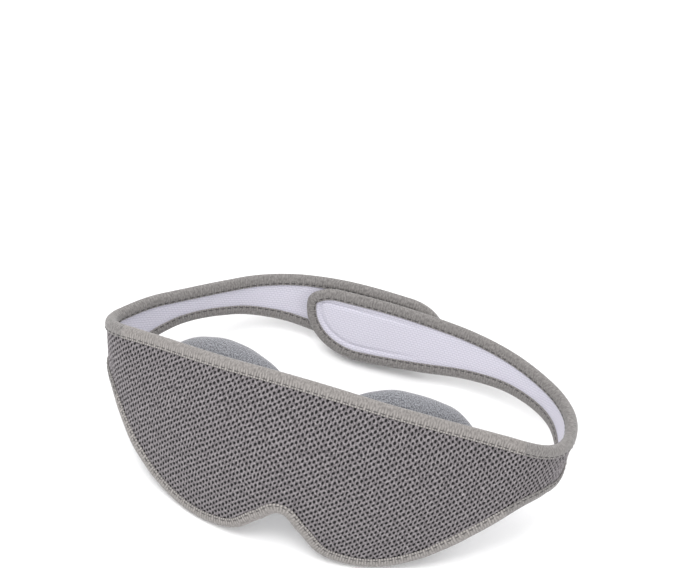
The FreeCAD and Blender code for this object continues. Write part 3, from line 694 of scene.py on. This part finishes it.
def refined(grid):
    """A closed grid with one value added between each two neighbours, both ways."""
    for axis in (0, 1):
        between = (grid + np.roll(grid, -1, axis)) / 2
        grid = np.stack([grid, between], axis=axis + 1)
        shape = list(grid.shape)
        shape[axis:axis + 2] = [shape[axis] * 2]
        grid = grid.reshape(shape)
    return grid


def cushion(name, side, material):
    """Padded jersey ring with a crown, soft dents and a sewn seam across it at each side."""
    angle = round_turn(RING_STEPS)
    turn = round_turn(SECTION_STEPS)
    middle, radial, out = cup_frames(side, angle)
    a, t = np.meshgrid(angle, turn, indexing="ij")
    lumps = (0.35 * np.sin(3 * a + 1.0 + 2 * t) + 0.30 * np.sin(5 * a - t + 0.4)
             + 0.22 * np.sin(9 * a + 3 * t) + 0.12 * np.sin(17 * a + 2 * t + SIGN[side]))
    arc = (RING_HALF_U + RING_HALF_V) / 2
    seam = np.minimum(np.abs(np.sin(a / 2)), np.abs(np.cos(a / 2))) * 2 * arc
    on_side = np.clip(np.abs(np.sin(t)) * 1.3 - 0.1, 0.0, 1.0)
    groove = 0.75 * np.exp(-(seam / 0.45) ** 2) + 0.55 * np.exp(-(seam / 3.2) ** 2) * on_side
    pucker = 0.22 * np.exp(-(seam / 5.0) ** 2) * np.sin(9 * t + 4 * a) * on_side
    swell = 0.5 * lumps - SWELL_ROOM
    detail = pucker - groove
    upper = np.clip(np.sin(a) + 0.15, 0.0, 1.0) ** 0.9
    crown = CUSHION_CROWN * upper * np.clip(np.sin(t), 0.0, 1.0)
    outer = math.pi / 2 - SIGN[side] * SHOULDER_TURN
    crown += SHOULDER * np.exp(-((a - outer) / 0.5) ** 2) * np.clip(np.sin(t), 0.0, 1.0)
    depth = -np.cos(t) * (TUBE_DEPTH / 2 + swell)
    lean_in = LEAN_IN * np.clip(depth / TUBE_DEPTH + 0.5, 0.0, 1.0) ** 2
    across = np.sin(t) * (TUBE_WIDTH / 2 + swell) + crown - lean_in
    height = CUP_BASE - np.clip(depth + TUBE_DEPTH / 2, BASE_GAP, None)
    points = middle[:, None] + radial[:, None] * across[..., None] + out[:, None] * height[..., None]
    coarse = points[::2, ::2]
    on_base = np.cos(t[::2, ::2]) > SWELL_HELD[0]
    on_seam = seam[::2, ::2] < SWELL_HELD[1]
    points = points + refined(swollen(coarse, (on_base | on_seam).ravel()))
    proud = radial[:, None] * np.sin(t)[..., None] + out[:, None] * np.cos(t)[..., None]
    points = points + proud * detail[..., None]
    girth = np.arange(SECTION_STEPS) * math.pi * TUBE_WIDTH / SECTION_STEPS
    uv = pairs(angle * arc, girth)
    faces = grid_faces(RING_STEPS, SECTION_STEPS, wrap_rows=True, wrap_columns=True)[:, ::-1]
    return new_piece(name, placed(points.reshape(-1, 3)), faces, uv, material)


def oval_pad(name, side, halves, offsets, material):
    """Thin oval cloth with rounded edges between two offsets, lying along the front's inner face."""
    half_u, half_v = halves
    w_out, w_in = offsets
    count, rings = 96, 16
    angle = round_turn(count)
    share = np.linspace(0.06, 1.0, rings)
    thick = w_out - w_in
    rounded = [(1.0 + 0.25 * thick / half_u, w_out - thick * f) for f in (0.3, 0.7)]
    profile = [(s, w_out) for s in share] + rounded + [(s, w_in) for s in share[::-1]]
    size = np.array([p[0] for p in profile])
    offset = np.array([p[1] for p in profile])
    u = SIGN[side] * CUP_RUN + half_u * np.outer(size, np.cos(angle))
    v = -CUP_DROP + half_v * np.outer(size, np.sin(angle))
    w = np.repeat(offset[:, None], count, axis=1)
    points = surface(u.ravel(), v.ravel(), w.ravel())
    faces = capped_faces(len(profile), count)
    uv = np.stack([u.ravel(), v.ravel()], axis=1)
    piece = new_piece(name, placed(points), faces, uv, material)
    return piece, math.pi * half_u * half_v * MM * MM


PATCH_LENGTH = 36.0
PATCH_WIDTH = 12.0
PATCH_FROM_TIP = 26.5
PATCH_RINGS = [(0.03, 0.85), (0.5, 0.85), (0.9, 0.85), (0.985, 0.75), (1.0, 0.55), (1.0, 0.06),
               (0.5, 0.06), (0.03, 0.06)]      # (share of the half width, height over the mesh)
HOOK_PITCH = 0.95
HOOK_STEM = [(0.17, 0.80), (0.15, 1.10), (0.30, 1.20), (0.30, 1.32), (0.12, 1.38)]    # (radius, height)
HOOK_SIDES = 6
HOOK_FIELD = [(-18.0, 18.0), (-5.4, 5.6)]
HOOK_MARGIN = 0.6


def closure_patch(name, material):
    """Hook patch on the right strap's outer face: a rounded base set with rows of small hooks."""
    centre_u = RUN["right"] - PATCH_FROM_TIP
    at = np.array([centre_u])
    centre_v = float(top_edge(at)[0] + bottom_edge(at)[0]) / 2
    radius = PATCH_WIDTH / 2
    half = PATCH_LENGTH / 2 - radius
    count = 96
    angle = round_turn(count)
    end = np.where(np.cos(angle) >= 0, half, -half)
    u = np.concatenate([centre_u + (end + radius * np.cos(angle)) * s for s, _ in PATCH_RINGS])
    v = np.concatenate([centre_v + radius * np.sin(angle) * s for s, _ in PATCH_RINGS])
    w = np.concatenate([np.full(count, FACE + lift) for _, lift in PATCH_RINGS])
    points = [surface(u, v, w)]
    uv = [np.stack([u, v], axis=1)]
    faces = capped_faces(len(PATCH_RINGS), count)
    gu, gv = np.meshgrid(*(np.arange(low, high, HOOK_PITCH) for low, high in HOOK_FIELD))
    gu, gv = gu.ravel(), gv.ravel()
    beyond = np.clip(np.abs(gu) - half, 0.0, None)
    inside = np.hypot(beyond, gv) < radius - HOOK_MARGIN
    hooks = np.stack([centre_u + gu[inside], centre_v + gv[inside]], axis=1)
    turns = round_turn(HOOK_SIDES)
    cell = grid_faces(len(HOOK_STEM), HOOK_SIDES, wrap_columns=True)[:, ::-1]
    for hook_u, hook_v in hooks:
        base = sum(len(block) for block in points)
        u = np.concatenate([hook_u + r * np.cos(turns) for r, _ in HOOK_STEM])
        v = np.concatenate([hook_v + r * np.sin(turns) for r, _ in HOOK_STEM])
        w = np.concatenate([np.full(HOOK_SIDES, FACE + lift) for _, lift in HOOK_STEM])
        points.append(surface(u, v, w))
        uv.append(np.stack([u, v], axis=1))
        faces += (cell + base).tolist()
        faces.append([base + (len(HOOK_STEM) - 1) * HOOK_SIDES + j for j in range(HOOK_SIDES)])
    return new_piece(name, placed(np.concatenate(points)), faces, np.concatenate(uv), material)


# ------------ materials
# The lights show the floor white, so cloth colours are this share of the ones to be seen.
CLOTH_SHARE = 0.84


def linear(red, green, blue, share=CLOTH_SHARE):
    """A share of the linear colour of display values from 11 to 255."""
    return tuple(share * ((c / 255.0 + 0.055) / 1.055) ** 2.4 for c in (red, green, blue)) + (1.0,)


class Nodes:
    """A new material's node tree, with short calls for the nodes that cloth needs."""

    def __init__(self, name, roughness, sheen=0.0, coat=0.0, specular=0.5):
        self.material = bpy.data.materials.new(name)
        self.material.use_nodes = True
        self.tree = self.material.node_tree
        self.shader = self.tree.nodes["Principled BSDF"]
        looks = {"Roughness": roughness, "Sheen Weight": sheen, "Coat Weight": coat,
                 "Specular IOR Level": specular}
        for socket, value in looks.items():
            self.shader.inputs[socket].default_value = value

    def node(self, kind, settings=None, **inputs):
        made = self.tree.nodes.new(kind)
        for key, value in (settings or {}).items():
            setattr(made, key, value)
        for key, value in inputs.items():
            self.set(made.inputs[key.replace("_", " ")], value)
        return made

    def set(self, socket, value):
        if isinstance(value, bpy.types.NodeSocket):
            self.tree.links.new(value, socket)
        else:
            socket.default_value = value

    def uv(self):
        return self.node("ShaderNodeUVMap", {"uv_map": "fabric"}).outputs["UV"]

    def vector(self, operation, first, second=None, third=None, out="Vector"):
        made = self.node("ShaderNodeVectorMath", {"operation": operation})
        for k, value in enumerate((first, second, third)):
            if value is not None:
                self.set(made.inputs[k], value)
        return made.outputs[out]

    def math(self, operation, first, second=None):
        made = self.node("ShaderNodeMath", {"operation": operation})
        for k, value in enumerate((first, second)):
            if value is not None:
                self.set(made.inputs[k], value)
        return made.outputs[0]

    def remap(self, value, low, high, to_low=0.0, to_high=1.0):
        made = self.node("ShaderNodeMapRange", {"interpolation_type": "SMOOTHSTEP"}, Value=value,
                         From_Min=low, From_Max=high, To_Min=to_low, To_Max=to_high)
        return made.outputs["Result"]

    def noise(self, vector, scale, detail=2.0, stretch=(1.0, 1.0, 1.0)):
        scaled = self.vector("MULTIPLY", vector, stretch)
        made = self.node("ShaderNodeTexNoise", None, Vector=scaled, Scale=scale, Detail=detail)
        return made.outputs["Fac"]

    def wave(self, vector, pitch, direction, distortion=0.0):
        """Sine stripes of one pitch in mm across X or Y of the uv."""
        turns = 2 * math.pi / pitch / 20.0
        made = self.node("ShaderNodeTexWave", {"bands_direction": direction}, Vector=vector,
                         Scale=turns, Distortion=distortion, Detail=1.0)
        return made.outputs["Fac"]

    def grain(self, scale):
        """Fine noise in the piece's own space, for pieces without a uv."""
        place = self.node("ShaderNodeTexCoord").outputs["Object"]
        made = self.node("ShaderNodeTexNoise", None, Vector=place, Scale=scale, Detail=2.0)
        return made.outputs["Fac"]

    def mix(self, share, first, second):
        made = self.node("ShaderNodeMix", {"data_type": "RGBA"})
        self.set(made.inputs[0], share)
        self.set(made.inputs[6], first)
        self.set(made.inputs[7], second)
        return made.outputs[2]

    def finish(self, colour, height=None, distance=0.0002, strength=0.5):
        self.set(self.shader.inputs["Base Color"], colour)
        if height is not None:
            bump = self.node("ShaderNodeBump", None, Height=height, Distance=distance,
                             Strength=strength)
            self.tree.links.new(bump.outputs["Normal"], self.shader.inputs["Normal"])
        return self.material


def spacer_mesh_material():
    """Warp-knit spacer mesh: oval holes that show the dark layer below, and fine yarn between them with
    painted highlight glints.
    """
    n = Nodes("spacer_mesh", roughness=0.85, sheen=0.15)
    uv = n.uv()
    distances = []
    for shift in (0.0, 0.5):
        moved = n.vector("SUBTRACT", uv, (shift * HOLE_PITCH[0], shift * HOLE_PITCH[1], 0.0))
        cell = n.vector("WRAP", moved, (HOLE_PITCH[0] / 2, HOLE_PITCH[1] / 2, 1.0),
                        (-HOLE_PITCH[0] / 2, -HOLE_PITCH[1] / 2, -1.0))
        turned = n.node("ShaderNodeMapping", {"vector_type": "POINT"}, Vector=cell,
                        Rotation=(0.0, 0.0, HOLE_SLANT)).outputs["Vector"]
        oval = n.vector("MULTIPLY", turned, (1.0 / HOLE_HALF[0], 1.0 / HOLE_HALF[1], 0.0))
        distances.append(n.vector("LENGTH", oval, out="Value"))
    nearest = n.math("MINIMUM", *distances)
    ragged = n.math("MULTIPLY", n.math("SUBTRACT", n.noise(uv, 0.9, 2.0), 0.5), 0.7)
    hole = n.remap(n.math("ADD", nearest, ragged), 0.72, 1.1, 1.0, 0.0)
    blotch = n.noise(uv, 0.09, 3.0)
    yarn = n.noise(uv, 1.5, 2.0, (1.0, 0.5, 1.0))
    thread = n.mix(n.remap(yarn, 0.3, 0.7), linear(94, 89, 92), linear(157, 151, 154))
    # painted highlight: small bright glints on the yarn between the holes
    painted_glint = n.remap(n.noise(uv, 0.8, 3.0, (1.0, 1.6, 1.0)), 0.56, 0.7)
    thread = n.mix(n.math("MULTIPLY", painted_glint, 0.45), thread, linear(200, 194, 197))
    thread = n.mix(n.math("MULTIPLY", blotch, 0.25), thread, linear(98, 92, 95))
    colour = n.mix(hole, thread, linear(14, 12, 15))
    return n.finish(colour, yarn, 0.00015, 0.8)


def tape_material(name, light, dark, rib_shading):
    """Knitted binding tape of melange yarn, with cross ribs that show most at its sewn edges; there
    painted shade darkens the rib valleys and painted highlight lightens the rib crests.
    """
    n = Nodes(name, roughness=0.8, sheen=0.2)
    uv = n.uv()
    ribs = n.wave(uv, RIB_PITCH, "X", 0.6)
    across = n.node("ShaderNodeSeparateXYZ", None, Vector=uv).outputs["Y"]
    off_middle = n.math("ABSOLUTE", across)
    sewn = n.remap(off_middle, 2.6, TAPE_GIRTH / 2 - 0.6)
    fleck = n.noise(uv, 1.5, 3.0, (1.0, 0.5, 1.0))
    slow = n.noise(uv, 0.07, 2.0)
    colour = n.mix(n.remap(fleck, 0.27, 0.73), dark, light)
    # Painted shade in the rib valleys and painted highlight on the rib crests, strongest towards the
    # sewn edges.
    rib_shade = n.math("MULTIPLY", n.math("SUBTRACT", 1.0, ribs), sewn)
    rib_highlight = n.math("MULTIPLY", ribs, sewn)
    # painted shade colour for the rib valleys, then painted highlight colour for the rib crests
    colour = n.mix(n.math("MULTIPLY", rib_shade, 0.55 * rib_shading), colour, linear(66, 63, 62))
    colour = n.mix(n.math("MULTIPLY", rib_highlight, 0.6 * rib_shading), colour, linear(206, 200, 196))
    colour = n.mix(n.math("MULTIPLY", slow, 0.3), colour, light)
    height = n.math("ADD", n.math("MULTIPLY", ribs, 0.8), n.math("MULTIPLY", fleck, 0.5))
    return n.finish(colour, height, 0.0002, 0.6)


def jersey_material():
    """Heathered jersey: light and dark fibres mixed, over fine knitted wales."""
    n = Nodes("jersey", roughness=0.95, sheen=0.35, specular=0.2)
    uv = n.uv()
    heather = n.noise(uv, 2.6, 4.0, (1.0, 0.6, 1.0))
    streak = n.noise(uv, 1.1, 3.0, (0.4, 1.6, 1.0))
    wales = n.wave(uv, 0.75, "X", 1.2)
    contrast = n.remap(heather, 0.32, 0.68)
    colour = n.mix(contrast, linear(84, 85, 90), linear(160, 161, 167))
    light_streak = n.math("MULTIPLY", n.remap(streak, 0.5, 0.75), 0.4)
    colour = n.mix(light_streak, colour, linear(172, 173, 179))
    colour = n.mix(n.math("MULTIPLY", wales, 0.15), colour, linear(82, 83, 88))
    height = n.math("ADD", heather, n.math("MULTIPLY", wales, 0.6))
    return n.finish(colour, height, 0.00025, 0.7)


def brushed_material():
    """Brushed loop lining: short light nap with faint cloudiness."""
    n = Nodes("loop_lining", roughness=0.95, sheen=0.4, specular=0.2)
    uv = n.uv()
    nap = n.noise(uv, 2.4, 4.0)
    cloud = n.noise(uv, 0.16, 2.0)
    colour = n.mix(nap, linear(170, 169, 176), linear(205, 204, 211))
    colour = n.mix(n.math("MULTIPLY", cloud, 0.3), colour, linear(178, 177, 184))
    return n.finish(colour, nap, 0.0002, 0.6)


def knit_material():
    """Lavender-grey knit: rows of short dashes, as of a fine birdseye."""
    n = Nodes("knit_lining", roughness=0.9, sheen=0.3, specular=0.25)
    uv = n.uv()
    brick = n.node("ShaderNodeTexBrick", {"offset": 0.5}, Vector=uv, Scale=1.0, Mortar_Size=0.16,
                   Mortar_Smooth=0.7, Brick_Width=1.7, Row_Height=0.95)
    row = brick.outputs["Fac"]
    nap = n.noise(uv, 2.2, 3.0)
    colour = n.mix(nap, linear(212, 209, 224), linear(240, 238, 248))
    colour = n.mix(n.math("MULTIPLY", row, 0.5), colour, linear(172, 169, 188))
    return n.finish(colour, n.math("SUBTRACT", nap, row), 0.0002, 0.5)


def thread_material(name, light, dark):
    """Twisted sewing thread."""
    n = Nodes(name, roughness=0.6, sheen=0.2)
    uv = n.uv()
    twist = n.wave(uv, 0.4, "X", 0.5)
    colour = n.mix(twist, dark, light)
    return n.finish(colour, twist, 0.00005, 0.6)


def hook_material(name, light, dark):
    """Moulded nylon hook tape."""
    n = Nodes(name, roughness=0.45)
    uv = n.uv()
    dots = n.noise(uv, 2.0, 2.0)
    colour = n.mix(dots, dark, light)
    return n.finish(colour, dots, 0.0001, 0.4)


def shell_material():
    """Smoke-grey moulded plastic with a polished face and faint flow marks."""
    n = Nodes("polished_shell", roughness=0.12, coat=0.6, specular=0.8)
    flow = n.grain(60.0)
    colour = n.mix(flow, linear(46, 47, 51), linear(62, 63, 68))
    return n.finish(colour, flow, 0.00003, 0.2)


def floor_material():
    """White matt paper."""
    n = Nodes("paper_floor", roughness=0.9, specular=0.2)
    grain = n.grain(900.0)
    colour = n.mix(grain, linear(250, 250, 251, 1.0), linear(253, 253, 253, 1.0))
    return n.finish(colour, grain, 0.00002, 0.1)


# ------------ pieces
MESH = spacer_mesh_material()
# The last number sets how strongly painted shade and painted highlight mark the tape's ribs.
TAPE = tape_material("binding_tape", linear(160, 155, 152), linear(108, 104, 101), 1.0)
STRAP_TAPE = tape_material("strap_tape", linear(148, 144, 142), linear(96, 93, 91), 0.35)
JERSEY = jersey_material()
BRUSHED = brushed_material()
KNIT = knit_material()
# Front thread: a real thread colour, made darker so that its dashes also carry painted contact shadow
# along the tape's inner edge.
FRONT_THREAD_AND_SHADE = thread_material("front_thread_and_shade", linear(98, 94, 93), linear(62, 60, 59))
STRAP_THREAD = thread_material("strap_thread", linear(70, 67, 68), linear(42, 40, 41))
HOOKS = hook_material("closure_hooks", linear(216, 214, 218), linear(186, 184, 190))
PAD_HOOKS = hook_material("pad_hooks", linear(96, 97, 102), linear(66, 67, 72))
SHELL = shell_material()

BLEND_HEIGHT = -20.0


def attach(piece, part):
    """Rides a piece on the front, or, for a strap, bakes the piece's placement into its mesh."""
    if part == "front":
        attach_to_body(piece, "mask_front")
        return
    sign = SIGN[part]
    hinge = placed_at(sign * HINGE_RUN, BLEND_HEIGHT, 0.0)
    before = placed_at(sign * (HINGE_RUN - 0.5), BLEND_HEIGHT, 0.0)
    after = placed_at(sign * (HINGE_RUN + 0.5), BLEND_HEIGHT, 0.0)
    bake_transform(piece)


def panel(name, part, steps, grain, relief, material, nodes, keep=None):
    """Adds a sheet of cloth that stands for CAD nodes and is sewn under a tape."""
    piece, flat, area = cloth(name, part, steps, grain, relief, material, keep)
    attach(piece, part)
    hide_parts(*nodes)


def binding(name, part, edge, material, node):
    """Adds a tape folded over one edge of the band in place of its CAD node."""
    piece, length = tape(name, edge, material)
    attach(piece, part)
    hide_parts(node)


MESH_STEPS = (HOLE_PITCH[0] / 8, HOLE_PITCH[1] / 7)
LINING_STEPS = (0.425, 0.325)

panel("front_mesh", "front", MESH_STEPS, GRAIN, mesh_relief, MESH,
      ["outer_mesh_panel", "blackout_foam_panel"])
panel("front_center_lining", "front", (0.5, 0.5), 0.0, brushed_relief, BRUSHED,
      ["center_loop_lining"], lambda u: np.abs(u) < LINING_SEAM)
for side, sign in SIGN.items():
    panel(side + "_temple_knit", "front", LINING_STEPS, 0.0, knit_relief, KNIT,
          [side + "_temple_lining"], lambda u, sign=sign: u * sign >= LINING_SEAM)
    panel(side + "_strap_outer_mesh", side, MESH_STEPS, GRAIN, mesh_relief, MESH,
          [side + "_strap_mesh", side + "_strap_core"])
    panel(side + "_strap_knit", side, LINING_STEPS, 0.0, knit_relief, KNIT,
          [side + "_strap_lining"])
binding("front_top_tape", "front", "top", TAPE, "front_top_binding")
binding("front_bottom_tape", "front", "bottom", TAPE, "front_bottom_binding")
for side in SIGN:
    binding(side + "_strap_tape", side, side, STRAP_TAPE, side + "_strap_binding")

attach(stitches("front_stitching", ["top", "bottom"], FRONT_THREAD_AND_SHADE), "front")
for side in SIGN:
    attach(stitches(side + "_strap_stitching", [side], STRAP_THREAD), side)

patch = closure_patch("closure_hooks", HOOKS)
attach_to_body(patch, "right_strap")
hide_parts("closure_hook_patch")

# The flat cloths behind each cushion: name, half sizes, offsets, material, CAD node and slot.
PADS = [("_cushion_base", (RING_HALF_U + 3.0, RING_HALF_V + 3.0), (-3.15, -3.95), JERSEY,
         "_cup_backing", "cup_backing"),
        ("_cushion_hooks", (15.0, 13.0), (-2.0, -3.1), PAD_HOOKS, "_cup_hook_pad", "hook_tape")]

for side in SIGN:
    body = side + "_eye_cup"
    ring = cushion(side + "_eye_cushion", side, JERSEY)
    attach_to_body(ring, body)
    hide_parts(side + "_cup_cover", side + "_cup_foam_ring")
    for name, halves, offsets, material, node, slot in PADS:
        pad, area = oval_pad(side + name, side, halves, offsets, material)
        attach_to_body(pad, body)
        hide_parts(side + node)
    shell = frame["nodes"][side + "_eye_shell"]
    shell.data.materials.clear()
    shell.data.materials.append(SHELL)

# ------------ floor, light and camera
FLOOR_HALF = 3.0
floor_corners = [(x * FLOOR_HALF, y * FLOOR_HALF, 0.0) for x, y in ((-1, -1), (1, -1), (1, 1), (-1, 1))]
floor_mesh = bpy.data.meshes.new("paper_sweep")
floor_mesh.from_pydata(floor_corners, [], [(0, 1, 2, 3)])
floor_mesh.materials.append(floor_material())
floor = bpy.data.objects.new("paper_sweep", floor_mesh)
bpy.context.scene.collection.objects.link(floor)


def area_light(name, place, aim, size, power):
    """Square soft box at a place, turned to a point."""
    data = bpy.data.lights.new(name, "AREA")
    data.size = size
    data.energy = power
    lamp = bpy.data.objects.new(name, data)
    lamp.location = place
    lamp.rotation_euler = (Vector(aim) - Vector(place)).to_track_quat("-Z", "Y").to_euler()
    bpy.context.scene.collection.objects.link(lamp)


area_light("key_soft_box", (-0.35, -0.25, 1.1), (0.0, 0.0, 0.02), 0.7, 7.4)
area_light("fill_soft_box", (0.9, -0.7, 0.7), (0.0, 0.0, 0.03), 0.9, 3.3)
area_light("back_soft_box", (0.1, 1.1, 0.8), (0.0, 0.05, 0.03), 0.9, 4.3)

world = bpy.data.worlds.new("studio")
world.use_nodes = True
background = world.node_tree.nodes["Background"]
background.inputs["Color"].default_value = (1.0, 1.0, 1.0, 1.0)
background.inputs["Strength"].default_value = 0.95
bpy.context.scene.world = world
bpy.context.scene.view_settings.view_transform = "Standard"

CAMERA_PLACE = np.array([109.8, -633.9, 212.7])      # in the design, in mm
CAMERA_TURN = math.radians(9.6)
CAMERA_FALL = math.radians(15.0)
CAMERA_ROLL = math.radians(13.2)
LENS = 95.54

level = np.array([math.cos(CAMERA_TURN), math.sin(CAMERA_TURN), 0.0])
forward = np.array([-math.sin(CAMERA_TURN), math.cos(CAMERA_TURN), 0.0])
look = forward * math.cos(CAMERA_FALL) - np.array([0.0, 0.0, math.sin(CAMERA_FALL)])
above = np.cross(level, look)
rightward = level * math.cos(CAMERA_ROLL) + above * math.sin(CAMERA_ROLL)
upward = above * math.cos(CAMERA_ROLL) - level * math.sin(CAMERA_ROLL)
axes = np.stack([LEAN @ rightward, LEAN @ upward, -(LEAN @ look)], axis=1)
camera_data = bpy.data.cameras.new("camera")
camera_data.lens = LENS
camera_data.sensor_width = 36.0
camera_data.clip_start = 0.01
camera_data.clip_end = 20.0
camera = bpy.data.objects.new("camera", camera_data)
camera.matrix_world = (Matrix.Translation(Vector(placed(CAMERA_PLACE)))
                       @ Matrix(axes.tolist()).to_4x4())
bpy.context.scene.collection.objects.link(camera)
bpy.context.scene.camera = camera
